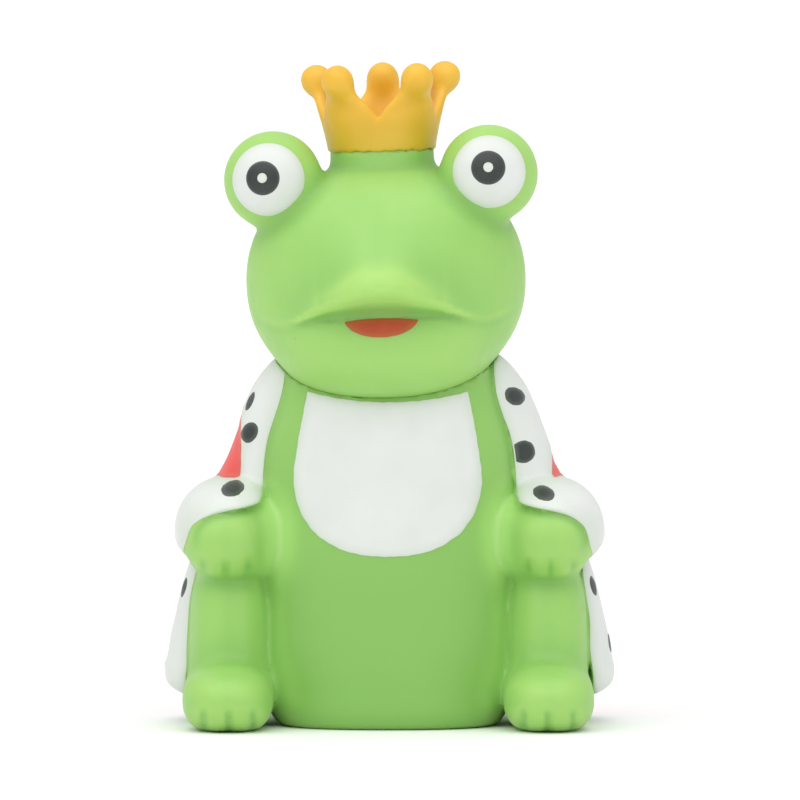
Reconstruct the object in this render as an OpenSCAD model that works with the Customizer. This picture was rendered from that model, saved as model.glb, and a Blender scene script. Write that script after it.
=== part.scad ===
/* [Body casting] */
// Width of the belly between the legs
torso_w = 41; // [34:0.5:50]
// Depth of the belly, front to back
torso_d = 39; // [32:0.5:48]
// Height of the torso, up to the collar under the head
torso_h = 61; // [50:0.5:72]
// Thickness of the cast vinyl wall
wall = 2.2; // [1.4:0.1:3.2]
// Thickness of the floor that the squeaker is pressed into
floor_t = 3.2; // [2.6:0.1:4.5]

/* [Legs and paws] */
// Distance between the middles of the two legs
leg_spread = 52; // [46:0.5:58]
// Width of a lower leg
leg_w = 12.6; // [10:0.2:15]
// Depth of a lower leg, front to back
leg_d = 22; // [17:0.5:27]
// Height of the knee that the paw rests on
knee_h = 29; // [24:0.5:34]
// Width of a foot
foot_w = 14.6; // [12:0.2:18]
// Length of a foot, heel to toes
foot_l = 25; // [20:0.5:30]
// Height of a foot
foot_h = 10.8; // [8:0.2:13]
// How far the toes reach in front of the belly's middle
toe_reach = 28; // [24:0.5:32]
// Width of a paw
paw_w = 13.2; // [11:0.2:16]
// Depth of a paw, front to back
paw_d = 17; // [13:0.5:21]
// Height of a paw
paw_h = 12.4; // [10:0.2:15]
// Height of the middle of a paw
paw_z = 31.4; // [28:0.2:35]
// Number of toes on a foot and of fingers on a paw
digits = 4; // [3:1:5]

/* [Cape] */
// Greatest width of the cape, at the hem
cape_w = 72; // [64:0.5:80]
// How far the cape reaches behind its middle line
cape_back = 25.2; // [20:0.5:30]
// How far the cape reaches in front of its middle line
cape_front = 15.5; // [12:0.5:20]
// How far the cape's middle line lies behind the belly's middle
cape_set = 3; // [0:0.5:6]
// Height of the hem above the ground
hem_z = 5.6; // [3:0.2:9]
// Softness of the crease between cape and belly
crease_r = 1.8; // [0.4:0.1:4]
// Thickness of the red cape coat
cape_coat = 0.7; // [0.4:0.1:1.2]
// Thickness of the raised white trim
trim_coat = 1.3; // [0.8:0.1:2]
// Height of the white trim along the hem
hem_band = 7; // [4:0.5:10]
// Distance from the belly's middle to the chest trim's outer edge
chest_band = 25.6; // [24:0.2:30]
// Height of the upper edge of the cuff over the arm
cuff_z = 41.6; // [39:0.2:45]
// Radius of an ermine spot
spot_r = 1.8; // [1.2:0.1:2.4]

/* [Paint coats] */
// Thickness of a printed or sprayed coat
coat = 0.35; // [0.2:0.05:0.6]
// Greatest width of the white bib
bib_w = 30.6; // [24:0.2:34]
// Height of the lowest point of the bib
bib_low = 28.9; // [24:0.2:34]
// Height of the bib's upper corners
bib_high = 55.6; // [50:0.2:58]
// How far the bib's upper edge dips in the middle
bib_dip = 1.5; // [0:0.1:3]

/* [Head casting] */
// Height of the underside of the head
head_z = 54.2; // [46:0.2:62]
// Width of the head across the cheeks
head_w = 45.8; // [38:0.2:54]
// Depth of the head, front to back
head_d = 42; // [36:0.2:50]
// Height of the head without eyes and crown
head_h = 39.6; // [34:0.2:46]
// Turn of the head towards its own right
head_turn = 2.5; // [0:0.5:8]
// Tilt of the head towards its own right shoulder
head_roll = 1.8; // [0:0.2:6]
// Width of the snout
snout_w = 37; // [30:0.5:42]
// Length of the snout, front to back
snout_l = 25; // [20:0.5:30]
// Height of the snout
snout_h = 13.2; // [10:0.2:17]
// How far the tip of the snout stands in front of the head's middle
snout_reach = 29.5; // [26:0.5:33]
// Height of the middle of the snout above the underside of the head
snout_z = 16.6; // [14:0.2:20]
// How far the ends of the snout droop
snout_droop = 4; // [2:0.2:6]
// Width of the lower jaw
jaw_w = 31; // [26:0.5:36]
// Length of the lower jaw, front to back
jaw_l = 21; // [17:0.5:26]
// Height of the lower jaw
jaw_h = 15; // [12:0.2:18]
// How far the chin stands in front of the head's middle
jaw_reach = 23.5; // [20:0.5:27]
// How far the lower jaw hangs below the skull
jaw_drop = 1.8; // [0.6:0.1:3]
// Width of the red mouth
mouth_w = 12.2; // [9:0.2:16]
// Height of the red mouth
mouth_h = 3.2; // [2:0.1:5]
// Height of the flat upper edge of the mouth above the underside of the head
mouth_z = 13.6; // [12:0.2:16]
// Radius of the neck tube that the head is plugged on
neck_r = 9; // [6:0.2:11]
// Length of neck tube inside the head
neck_h = 5; // [3:0.2:8]
// Clearance between head and body
neck_gap = 0.2; // [0.1:0.05:0.4]

/* [Eyes] */
// Radius of an eye bulge
eye_r = 8; // [6.5:0.1:9.5]
// Distance between the middles of the two eye bulges
eye_spread = 35.2; // [31:0.2:39]
// Height of the middle of an eye bulge above the underside of the head
eye_z = 36.8; // [33:0.2:40]
// How far the eyes stand in front of the head's middle
eye_reach = 7; // [3:0.2:11]
// Radius of the white of an eye
white_r = 5.9; // [4.5:0.1:6.6]
// Radius of a pupil
pupil_r = 2.9; // [2:0.1:4]
// Radius of the glint in a pupil
glint_r = 0.85; // [0.5:0.05:1.4]
// How far the eyes look outwards
eye_squint = 3; // [0:0.5:10]

/* [Crown] */
// Radius of the foot of the crown
crown_r = 8.7; // [7:0.1:11]
// Radius of the ring of balls on the points
crown_top_r = 11.1; // [9:0.1:13]
// Height of the crown up to the middle of its balls
crown_h = 11.8; // [9:0.1:15]
// Thickness of the crown's wall
crown_wall = 1.9; // [1.2:0.1:2.6]
// Thickness of the crown's floor
crown_floor = 3; // [2:0.1:5]
// Depth of the notches between the points
notch_h = 6; // [4:0.1:8]
// Radius of a ball on a point
ball_r = 2.5; // [1.8:0.1:3.2]
// Number of points
points = 5; // [4:1:7]
// Height of the green stub under the crown
stub_h = 1.6; // [0.8:0.1:3]

/* [Squeaker] */
// Radius of the hole in the floor of the casting
squeak_hole_r = 9; // [7:0.1:11]
// Thickness of the squeaker's outer flange
flange_t = 1; // [0.8:0.1:1.4]
// How far flange and inner bead reach over the edge of the hole
flange_lip = 1.8; // [1:0.1:2.4]
// Height of the bead that holds the squeaker behind the floor
bead_h = 1.4; // [0.8:0.1:2]
// Radius of the bore that holds the reed cartridge
barrel_r = 4.4; // [3.6:0.1:5.2]
// Wall of the barrel
barrel_wall = 1.2; // [0.8:0.1:1.6]
// Length of the reed cartridge
cartridge_h = 17; // [14:0.5:22]
// Radius of the sound hole
sound_hole_r = 1.6; // [1:0.1:2.4]
// Width of the reed
reed_w = 4.6; // [3.5:0.1:5.5]
// Free length of the reed
reed_l = 10; // [8:0.2:13]
// Thickness of the reed
reed_t = 0.3; // [0.15:0.05:0.5]
// Gap between the reed and the flat that it beats on
reed_gap = 0.7; // [0.5:0.05:1]
// Clearance of the pieces of the squeaker
squeak_clear = 0.05; // [0.03:0.01:0.08]

/* [Hidden] */

// Overrun of every cut
over = torso_h;
// Sides of the trunk, rings up it from the hem and below it
trunk_around = 64;
trunk_up = 19;
trunk_low_up = 3;
// Sides of the head and rings up it
head_around = 34;
head_up = 16;
// Sides and rings of the neck, eyes, inner faces and small lumps
neck_around = 34;
eye_around = 24;
inner_up = 10;
lump_around = 18;
lump_up = 8;
digit_around = 9;
digit_up = 6;
spot_around = 16;
mouth_around = 17;
// Squareness of the forms seen from above and from the front
torso_square = 2.4;
cape_square = 2.4;
head_square = 2.25;
paw_square = 2.5;
ball_square = 2;

// Torso from the ground to the collar: heights, widths and depths
torso_z_shares = [0, 0.04, 0.12, 0.35, 0.6, 0.8, 0.92, 1];
torso_w_shares = [0.9, 0.97, 1, 1.01, 0.97, 0.9, 0.84, 0.78];
torso_d_shares = [0.88, 0.96, 1, 1, 0.94, 0.85, 0.78, 0.72];

// Cape from the hem to the collar: heights, widths, and reach to the back and front
cape_z_shares = [0, 0.04, 0.11, 0.25, 0.38, 0.5, 0.57, 0.65, 0.74, 0.87, 0.95, 1];
cape_w_shares = [0.91, 0.97, 1, 0.965, 0.905, 0.975, 0.935, 0.785, 0.725, 0.65, 0.565, 0.48];
cape_back_shares = [0.9, 0.96, 1, 0.98, 0.95, 0.93, 0.91, 0.88, 0.85, 0.78, 0.7, 0.62];
cape_front_shares = [0.85, 0.93, 0.97, 0.97, 0.97, 1, 0.98, 0.92, 0.9, 0.88, 0.8, 0.68];

// Inner edge of the white trim from the head to the hem: half-widths and heights
trim_x_shares = [0.47, 0.48, 0.51, 0.54, 0.56, 0.565, 0.565, 0.6, 0.7, 0.785, 0.85, 0.9, 0.915, 0.9, 0.87,
    0.885, 0.905, 0.905, 0.925];
trim_z_shares = [0.96, 0.9, 0.85, 0.8, 0.75, 0.69, 0.63, 0.61, 0.605, 0.597, 0.58, 0.555, 0.53, 0.49, 0.44,
    0.37, 0.29, 0.2, 0.13];

// Width, length and standing out of a toe or finger in its spacing, and its height in its limb's height
digit_w_share = 1.14;
digit_l_share = 2.6;
digit_out_share = 0.15;
digit_h_share = 0.6;

// Lower half-outline of the bib, from a corner to the lowest point: widths and heights
bib_w_shares = [0.84, 0.93, 0.99, 1, 0.97, 0.88, 0.72, 0.45, 0];
bib_z_shares = [1, 0.85, 0.65, 0.48, 0.3, 0.16, 0.07, 0.02, 0];

// Ermine spots on the front of the trim: half-widths and heights
spot_x_shares = [-0.61, -0.69, 0.56, 0.62, 0.714];
spot_z_shares = [0.8, 0.66, 0.9, 0.754, 0.65];
// Ermine spots on either side and round the hem: angles from the front and heights
side_spot_turns = [84, 86, 86, 120, 150];
side_spot_z_shares = [0.555, 0.395, 0.24, 0.15, 0.15];

half_turn = 180;
quarter_turn = 90;
leg_x = leg_spread / 2;
cape_rise = torso_h - hem_z;
// Rise of the hem's underside from the torso outwards
ledge_h = trim_coat / 2;
// Heights between which the white hem lies
hem_low_z = hem_z - trim_coat / 2;
hem_top_z = hem_z + hem_band;
bib_rise = bib_high - bib_low;
head_top = head_h + stub_h;
flange_r = squeak_hole_r + flange_lip;
recess_t = flange_t + neck_gap;
bead_z = floor_t + squeak_clear;
cartridge_z = floor_t - flange_t;
cartridge_r = barrel_r - squeak_clear;
barrel_outer_r = barrel_r + barrel_wall;
clamp_h = cartridge_h - reed_l - reed_t;
reed_z = cartridge_z + clamp_h + squeak_clear;

function powered(v, p) = sign(v) * pow(abs(v), p);

// Value at share t of a smooth curve through the values at the given shares
function segment(t, keys, i = 0) = i >= len(keys) - 2 || t < keys[i + 1] ? i : segment(t, keys, i + 1);
function slope(i, keys, vals) =
    let (a = max(i - 1, 0), b = min(i + 1, len(keys) - 1))
    (vals[b] - vals[a]) / (keys[b] - keys[a]);
function curve(t, keys, vals) =
    let (i = segment(t, keys), step = keys[i + 1] - keys[i], s = (t - keys[i]) / step)
    vals[i] * (1 + 2 * s) * pow(1 - s, 2) + vals[i + 1] * s * s * (3 - 2 * s)
        + slope(i, keys, vals) * step * s * pow(1 - s, 2) + slope(i + 1, keys, vals) * step * s * s * (s - 1);

// Reach of a rounded outline from its middle in direction t: half-width and depth on that side
function reach(t, half_w, depth, square) =
    pow(pow(abs(cos(t)) / half_w, square) + pow(abs(sin(t)) / depth, square), -1 / square);

// The larger of two reaches, with the crease between them rounded
function joined(a, b) =
    let (h = max(crease_r - abs(a - b), 0) / crease_r)
    max(a, b) + h * h * crease_r / 4;

// Reach of the torso and of the cape from the cape's middle line, in direction t at height z
function torso_reach(t, z) =
    let (s = max(min(z / torso_h, 1), 0), half_d = torso_d / 2 * curve(s, torso_z_shares, torso_d_shares))
    reach(t, torso_w / 2 * curve(s, torso_z_shares, torso_w_shares),
        sin(t) < 0 ? half_d + cape_set : half_d - cape_set, torso_square);
function cape_reach(t, z) =
    let (s = max(min((z - hem_z) / cape_rise, 1), 0))
    reach(t, cape_w / 2 * curve(s, cape_z_shares, cape_w_shares) - trim_coat,
        sin(t) < 0 ? cape_front * curve(s, cape_z_shares, cape_front_shares)
            : cape_back * curve(s, cape_z_shares, cape_back_shares), cape_square);

// Direction of corner j of n in ring i; every second ring is turned by half a corner
function corner(i, j, n) = 2 * half_turn * (j + i % 2 / 2) / n;

// Level ring i round the trunk, grown by grow, under the hem or above it
function trunk_ring(i, z, grow, caped) = [
    for (j = [0 : trunk_around - 1])
        let (t = corner(i, j, trunk_around), inner = torso_reach(t, z))
        let (r = grow + (caped ? joined(inner, cape_reach(t, z)) : inner))
        [r * cos(t), cape_set + r * sin(t), z]
];

// Closed skin through turned rings, from the lowest to the highest
module loft(rings) {
    n = len(rings[0]);
    m = len(rings);
    sides = [
        for (i = [0 : m - 2], j = [0 : n - 1])
            let (k = (j + 1) % n, a = i * n, b = (i + 1) * n)
            each i % 2 == 0 ? [[a + j, b + j, a + k], [b + j, b + k, a + k]]
                : [[a + j, b + j, b + k], [a + j, b + k, a + k]]
    ];
    low = [for (j = [0 : n - 1]) j];
    high = [for (j = [n - 1 : -1 : 0]) (m - 1) * n + j];
    polyhedron([for (r = rings) each r], concat(sides, [low, high]));
}

// Rounded lump of a given size about the origin, grown all round by grow, with its sides drooping
module lump(size, square, grow = 0, droop = 0, n = lump_around, m = lump_up) {
    half = size / 2 + [grow, grow, grow];
    rings = [
        for (i = [0 : m])
            let (lat = (i / m - 1 / 2) * half_turn * (1 - 1 / pow(m, 2)), c = powered(cos(lat), 2 / square))
            [for (j = [0 : n - 1])
                let (t = corner(i, j, n), x = c * powered(cos(t), 2 / square))
                [half.x * x, half.y * c * powered(sin(t), 2 / square),
                    half.z * powered(sin(lat), 2 / square) - droop * x * x]]
    ];
    loft(rings);
}

// Torso with the cape round it, from the height low up, grown all round by grow
module trunk_form(grow = 0, low = 0) {
    hem = hem_z - grow;
    base = low - max(grow, 0);
    steps = grow < 0 ? inner_up : trunk_up;
    loft(concat(
        [for (i = [0 : trunk_low_up]) trunk_ring(i, base + i / trunk_low_up * (hem - base), grow, false)],
        [for (i = [0 : steps])
            trunk_ring(trunk_low_up + 1 + i, hem + ledge_h + i / steps * (torso_h + grow - hem - ledge_h),
                grow, true)]
    ));
}

module limb_forms() {
    for (side = [-1, 1])
        translate([side * leg_x, 0, 0]) {
            foot_form();
            leg_form();
            paw_form();
        }
}

module leg_form() {
    translate([0, leg_d / 2 - paw_d / 2 - paw_w / 2, knee_h / 2])
        lump([leg_w, leg_d, knee_h], paw_square);
}

module foot_form() {
    translate([0, foot_l / 2 - toe_reach + digit_w(foot_w) * digit_out_share, foot_h / 2]) {
        lump([foot_w, foot_l, foot_h], paw_square);
        digit_forms([foot_w, foot_l, foot_h]);
    }
}

module paw_form() {
    translate([0, -paw_w, paw_z]) {
        lump([paw_w, paw_d, paw_h], paw_square);
        digit_forms([paw_w, paw_d, paw_h]);
    }
}

function digit_w(limb_w) = limb_w / digits;

// Row of toes or fingers along the lower front edge of a limb of the given size
module digit_forms(limb) {
    w = digit_w(limb.x);
    h = limb.z * digit_h_share;
    set_in = w * (digit_l_share / 2 - digit_out_share);
    for (i = [0 : digits - 1])
        translate([(i - (digits - 1) / 2) * w, set_in - limb.y / 2, (h - limb.z) / 2])
            lump([w * digit_w_share, w * digit_l_share, h], paw_square, n = digit_around, m = digit_up);
}

module body_form() {
    trunk_form();
    limb_forms();
}

// Place of the head's own frame, the middle of its underside, turned about the middle of the head
module head_place() {
    translate([0, 0, head_z + head_h / 2])
        rotate([0, -head_roll, -head_turn])
            translate([0, 0, -head_h / 2])
                children();
}

module skull_form(grow = 0) {
    inner = grow < 0;
    translate([0, 0, (head_h + jaw_drop) / 2])
        lump([head_w, head_d, head_h - jaw_drop], head_square, grow,
            n = inner ? eye_around : head_around, m = inner ? inner_up : head_up);
}

module snout_form(grow = 0) {
    translate([0, snout_l / 2 - snout_reach, snout_z])
        lump([snout_w, snout_l, snout_h], ball_square, grow, snout_droop, n = head_around, m = head_up / 2);
}

module jaw_form(grow = 0) {
    translate([0, jaw_l / 2 - jaw_reach, jaw_h / 2])
        lump([jaw_w, jaw_l, jaw_h], ball_square, grow, n = head_around, m = head_up / 2);
}

module face_form(grow = 0) {
    skull_form(grow);
    snout_form(grow);
    jaw_form(grow);
}

module eye_place(side) {
    translate([side * eye_spread / 2, -eye_reach, eye_z])
        rotate([quarter_turn, 0, side * eye_squint])
            children();
}

// Part of the space behind the cape's middle line, and the corners over the cuffs, between two heights
module back_zone(low, high) {
    translate([-over, cape_set, low])
        cube([2 * over, over, high - low]);
    for (side = [0, 1])
        mirror([side, 0, 0])
            translate([chest_band, cape_set - over, max(low, cuff_z)])
                cube([over, over, max(high - max(low, cuff_z), 0)]);
}

// Part of the space that the white trim covers: front edges, cuffs and hem
module trim_zone() {
    edge = [
        for (i = [0 : len(trim_x_shares) - 1])
            [cape_w / 2 * trim_x_shares[i], torso_h * trim_z_shares[i]]
    ];
    last = edge[len(edge) - 1];
    difference() {
        for (side = [0, 1])
            mirror([side, 0, 0])
                translate([0, cape_set, 0])
                    rotate([quarter_turn, 0, 0])
                        linear_extrude(over)
                            polygon(concat([[over, over], [edge[0].x, over]], edge,
                                [[last.x, hem_low_z], [over, hem_low_z]]));
        back_zone(hem_low_z - over, over);
    }
    back_zone(hem_low_z, hem_top_z);
}

// One skin made of all the children
module skin() {
    resize([0, 0, 0])
        children();
}

module body_casting() {
    color("yellowgreen")
        difference() {
            skin()
                difference() {
                    union() {
                        difference() {
                            body_form();
                            head_place()
                                face_form(neck_gap);
                        }
                        translate([0, 0, head_z - wall])
                            cylinder(h = wall + neck_h, r = neck_r, $fn = neck_around);
                    }
                    difference() {
                        union() {
                            trunk_form(-wall, floor_t);
                        }
                        translate([0, 0, floor_t - over])
                            translate([-over, -over, 0])
                                cube([2 * over, 2 * over, over]);
                        head_place()
                            face_form(neck_gap + wall);
                    }
                    translate([0, 0, head_z - over / 2])
                        cylinder(h = over, r = neck_r - wall, $fn = neck_around);
                }
            translate([-over, -over, -over])
                cube([2 * over, 2 * over, over]);
            translate([0, 0, -over])
                cylinder(h = over + recess_t, r = flange_r + neck_gap);
            translate([0, 0, -over])
                cylinder(h = over + floor_t + wall, r = squeak_hole_r + squeak_clear);
        }
}

module bib() {
    left = [
        for (i = [0 : len(bib_w_shares) - 1])
            [-bib_w / 2 * bib_w_shares[i], bib_low + bib_rise * bib_z_shares[i]]
    ];
    right = [for (i = [len(left) - 2 : -1 : 0]) [-left[i].x, left[i].y]];
    top = [
        for (i = [1 : lump_up - 1])
            let (t = i / lump_up)
            [right[len(right) - 1].x * (1 - 2 * t), bib_high - bib_dip * sin(half_turn * t)]
    ];
    color("white")
        skin()
            difference() {
                intersection() {
                    trunk_form(coat);
                    rotate([quarter_turn, 0, 0])
                        linear_extrude(over)
                            polygon(concat(left, right, top));
                }
                trunk_form();
                head_place()
                    face_form(neck_gap);
            }
}

module cape() {
    color("red")
        skin()
            difference() {
                intersection() {
                    trunk_form(cape_coat);
                    back_zone(hem_top_z, over + torso_h);
                }
                body_form();
                head_place()
                    face_form(neck_gap);
            }
}

module cape_trim() {
    color("white")
        skin()
            difference() {
                intersection() {
                    trunk_form(trim_coat);
                    trim_zone();
                }
                body_form();
                head_place()
                    face_form(neck_gap);
            }
}

module trim_spots() {
    color("black")
        skin()
            difference() {
                intersection() {
                    trunk_form(trim_coat + coat);
                    spot_pegs();
                }
                trunk_form(trim_coat);
                body_form();
                head_place()
                    face_form(neck_gap);
            }
}

// Pegs that mark the spots, pointing out of the cape
module spot_pegs() {
    for (i = [0 : len(spot_x_shares) - 1])
        translate([cape_w / 2 * spot_x_shares[i], cape_set, torso_h * spot_z_shares[i]])
            rotate([quarter_turn, 0, 0])
                spot_peg();
    for (side = [0, 1])
        mirror([side, 0, 0])
            for (i = [0 : len(side_spot_turns) - 1])
                translate([0, cape_set, torso_h * side_spot_z_shares[i]])
                    rotate([quarter_turn, 0, side_spot_turns[i]])
                        spot_peg();
}

module spot_peg() {
    cylinder(h = over, r = spot_r, $fn = spot_around);
}

module head_casting() {
    color("yellowgreen")
        skin()
            difference() {
                head_place() {
                    difference() {
                        face_form();
                        for (side = [-1, 1])
                            eye_place(side)
                                cylinder(h = 2 * eye_r, r = white_r + coat, $fn = eye_around);
                    }
                    for (side = [-1, 1])
                        eye_place(side)
                            sphere(eye_r, $fn = eye_around);
                    translate([0, 0, head_h / 2])
                        cylinder(h = head_top - head_h / 2, r = crown_r, $fn = head_around);
                }
                head_place()
                    skull_form(-wall);
                translate([0, 0, head_z - over])
                    cylinder(h = over + neck_h + neck_gap, r = neck_r + neck_gap, $fn = neck_around);
            }
}

module crown() {
    rim_r = crown_top_r + crown_wall / 2;
    color("gold")
        head_place()
            translate([0, 0, head_top]) {
                difference() {
                    rotate_extrude()
                        polygon([[0, 0], [crown_r, 0], [rim_r, crown_h], [rim_r - crown_wall, crown_h],
                            [crown_r - crown_wall, crown_floor], [0, crown_floor]]);
                    for (i = [0 : points - 1])
                        rotate([quarter_turn, 0, 2 * half_turn * i / points])
                            notch();
                }
                for (i = [0 : points - 1])
                    rotate([0, 0, 2 * half_turn * (i + 1 / 2) / points - quarter_turn])
                        translate([crown_top_r, 0, crown_h])
                            sphere(ball_r);
            }
}

// Rounded notch between two points, cut outwards from the axis
module notch() {
    half_gap = crown_top_r * sin(half_turn / points) - ball_r / 2;
    round_r = half_gap / 2;
    linear_extrude(over)
        translate([0, crown_h - notch_h]) {
            translate([0, round_r])
                circle(round_r);
            polygon([[-round_r, round_r], [round_r, round_r], [half_gap, notch_h], [half_gap, over],
                [-half_gap, over], [-half_gap, notch_h]]);
        }
}

module mouth() {
    color("firebrick")
        skin()
            head_place()
                difference() {
                    intersection() {
                        face_form(coat);
                        translate([0, 0, mouth_z])
                            rotate([quarter_turn, 0, 0])
                                linear_extrude(over)
                                    mouth_outline();
                    }
                    face_form();
                }
}

// Half-moon with its flat side up
module mouth_outline() {
    polygon([
        for (i = [0 : mouth_around])
            let (t = half_turn * i / mouth_around)
            [-mouth_w / 2 * cos(t), -mouth_h * sin(t)]
    ]);
}

// Round coat on an eye bulge, between two heights above it
module eye_coat(side, spot, low, high) {
    head_place()
        eye_place(side)
            intersection() {
                difference() {
                    sphere(eye_r + high);
                    sphere(eye_r + low);
                }
                cylinder(h = over, r = spot);
            }
}

module eye_white(side) {
    color("white")
        eye_coat(side, white_r, 0, coat);
}

module pupil(side) {
    color("dimgray")
        eye_coat(side, pupil_r, coat, 2 * coat);
}

module eye_glint(side) {
    color("white")
        eye_coat(side, glint_r, 2 * coat, 3 * coat);
}

module squeaker_housing() {
    color("whitesmoke")
        rotate_extrude()
            polygon([
                [sound_hole_r, recess_t - flange_t], [flange_r, recess_t - flange_t],
                [flange_r, recess_t - squeak_clear], [squeak_hole_r, recess_t - squeak_clear],
                [squeak_hole_r, bead_z], [flange_r, bead_z], [squeak_hole_r, bead_z + bead_h],
                [barrel_outer_r, bead_z + bead_h], [barrel_outer_r, cartridge_z + cartridge_h],
                [barrel_r, cartridge_z + cartridge_h], [barrel_r, cartridge_z], [sound_hole_r, cartridge_z]
            ]);
}

// Half of the round cartridge, on the side of its flat that faces the given way
module half_round(facing, h, inset) {
    translate([0, 0, cartridge_z])
        intersection() {
            cylinder(h = h, r = cartridge_r);
            translate([-over, facing > 0 ? inset : inset - over, 0])
                cube([2 * over, over, h]);
        }
}

module reed_block() {
    channel_w = reed_w * 2 / 3;
    color("gainsboro")
        difference() {
            union() {
                half_round(-1, cartridge_h, 0);
                half_round(-1, clamp_h, reed_gap);
            }
            translate([-channel_w / 2, -sound_hole_r / 2, cartridge_z - over])
                cube([channel_w, sound_hole_r / 2, 2 * over]);
        }
}

module reed_clamp() {
    color("gainsboro")
        half_round(1, clamp_h, reed_gap);
}

module reed() {
    color("lightblue")
        translate([-reed_w / 2, reed_gap, reed_z])
            cube([reed_w, reed_t, reed_l]);
}

body_casting();
bib();
cape();
cape_trim();
trim_spots();
head_casting();
crown();
mouth();
eye_white(-1);  // eye_white_left
eye_white(1);  // eye_white_right
pupil(-1);  // pupil_left
pupil(1);  // pupil_right
eye_glint(-1);  // eye_glint_left
eye_glint(1);  // eye_glint_right
squeaker_housing();
reed_block();
reed_clamp();
reed();
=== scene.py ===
"""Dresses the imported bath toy: soft vinyl forms, printed coats and a plain white studio.

Shapes are sculpted as distance fields in millimetres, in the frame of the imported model, and meshed here.
"""
import math

import bpy
import numpy as np
from mathutils import Matrix, Vector


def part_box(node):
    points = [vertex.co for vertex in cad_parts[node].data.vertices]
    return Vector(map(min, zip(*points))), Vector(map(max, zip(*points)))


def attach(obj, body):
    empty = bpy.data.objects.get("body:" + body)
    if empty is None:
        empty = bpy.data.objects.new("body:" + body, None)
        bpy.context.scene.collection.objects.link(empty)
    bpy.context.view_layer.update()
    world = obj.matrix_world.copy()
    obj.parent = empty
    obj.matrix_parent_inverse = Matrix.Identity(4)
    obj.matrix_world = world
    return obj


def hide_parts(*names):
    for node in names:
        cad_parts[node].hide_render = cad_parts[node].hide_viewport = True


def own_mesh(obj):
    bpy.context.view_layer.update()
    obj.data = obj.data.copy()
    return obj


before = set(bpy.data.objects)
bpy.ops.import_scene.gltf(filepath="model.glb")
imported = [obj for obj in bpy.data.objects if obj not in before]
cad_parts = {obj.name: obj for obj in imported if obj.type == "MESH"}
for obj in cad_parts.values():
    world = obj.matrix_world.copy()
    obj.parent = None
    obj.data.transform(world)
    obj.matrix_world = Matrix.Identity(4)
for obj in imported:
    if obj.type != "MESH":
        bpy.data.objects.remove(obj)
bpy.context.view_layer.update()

MM = 0.001
TINY = 1e-9

# Mesh steps, and the low and high corners of the box that holds each mesh
BODY_STEP = 0.7
BODY_BOX = ((-39.0, -30.0, -1.5), (39.0, 31.0, 64.0))
HEAD_STEP = 0.65
HEAD_BOX = ((-31.0, -33.0, 51.0), (30.0, 25.0, 101.0))
CROWN_STEP = 0.4
CROWN_BOX = ((-17.0, -16.0, 93.0), (16.0, 16.0, 113.0))

# Steps for measuring slope and bend, the bends that count as full, and how points settle on a surface
SLOPE_STEP = 0.04
BEND_STEP = 0.7
RIDGE_FULL = 0.42
CREASE_FULL = 0.6
NET_ROUNDS = 4
SETTLE_REACH = 0.2
SETTLE_ROUNDS = 2

# Angles in degrees above which an edge is drawn sharp
BODY_SHARP = 60.0
COAT_SHARP = 50.0

# Squeeze: the share of its height that the body keeps when it is pressed down
SQUEEZE_KEEP = 0.862


# Tools for distance fields


def smooth_min(a, b, k):
    """The lesser of two fields, rounded over the width k."""
    h = np.maximum(1.0 - np.abs(a - b) / (1.5 * k), 0.0)
    return np.minimum(a, b) - k * h ** 3 / 4.0


def smooth_max(a, b, k):
    """The greater of two fields, rounded over the width k."""
    return -smooth_min(-a, -b, k)


def smooth_step(v, low, high):
    """From 0 below low to 1 above high."""
    t = np.clip((v - low) / (high - low), 0.0, 1.0)
    return t * t * (3.0 - 2.0 * t)


def hump(v, width):
    """A soft bump of height 1 at zero."""
    return np.exp(-((v / width) ** 2))


def curve(v, at, values):
    """A smooth line through the values at the given places, level past both ends."""
    at = np.asarray(at, float)
    values = np.asarray(values, float)
    slope = np.gradient(values, at)
    i = np.clip(np.searchsorted(at, v) - 1, 0, len(at) - 2)
    step = at[i + 1] - at[i]
    t = np.clip((v - at[i]) / step, 0.0, 1.0)
    a = (1.0 + 2.0 * t) * (1.0 - t) ** 2
    b = t * (1.0 - t) ** 2 * step
    c = t * t * (3.0 - 2.0 * t)
    d = t * t * (t - 1.0) * step
    return a * values[i] + b * slope[i] + c * values[i + 1] + d * slope[i + 1]


def lump(p, centre, half, power=2.0, half_low=None):
    """Near distance to a rounded block: an ellipsoid at power 2, squarer at higher powers.

    half_low is the half height below the centre, where it differs.
    """
    r = p - np.asarray(centre, float)
    hx, hy, hz = half
    if half_low is not None:
        hz = np.where(r[..., 2] < 0.0, half_low, hz)
    q = [np.abs(r[..., 0]) / hx, np.abs(r[..., 1]) / hy, np.abs(r[..., 2]) / hz]
    k = (q[0] ** power + q[1] ** power + q[2] ** power) ** (1.0 / power)
    up = power - 1.0
    slope = np.sqrt((q[0] ** up / hx) ** 2 + (q[1] ** up / hy) ** 2 + (q[2] ** up / hz) ** 2)
    return (k - 1.0) * k ** up / (slope + TINY)


def column(p, half_w, front, back, axis_y, power):
    """Near distance to an upright form with level oval rings."""
    y = p[..., 1] - axis_y
    half_d = np.where(y < 0.0, front, back)
    qx = np.abs(p[..., 0]) / half_w
    qy = np.abs(y) / half_d
    k = (qx ** power + qy ** power) ** (1.0 / power)
    up = power - 1.0
    slope = np.sqrt((qx ** up / half_w) ** 2 + (qy ** up / half_d) ** 2)
    return (k - 1.0) * k ** up / (slope + TINY)


def mirrored(p):
    """The same points on the +X side."""
    m = p.copy()
    m[..., 0] = np.abs(m[..., 0])
    return m


# Waves of an uneven edge: radians per millimetre along x, y and z, and the shift of each wave
RAGGED_WAVES = ((1.9, 0.0, 0.7, 0.0), (0.0, -1.1, 2.7, 0.8), (3.3, 1.9, -2.1, 0.0))


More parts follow.
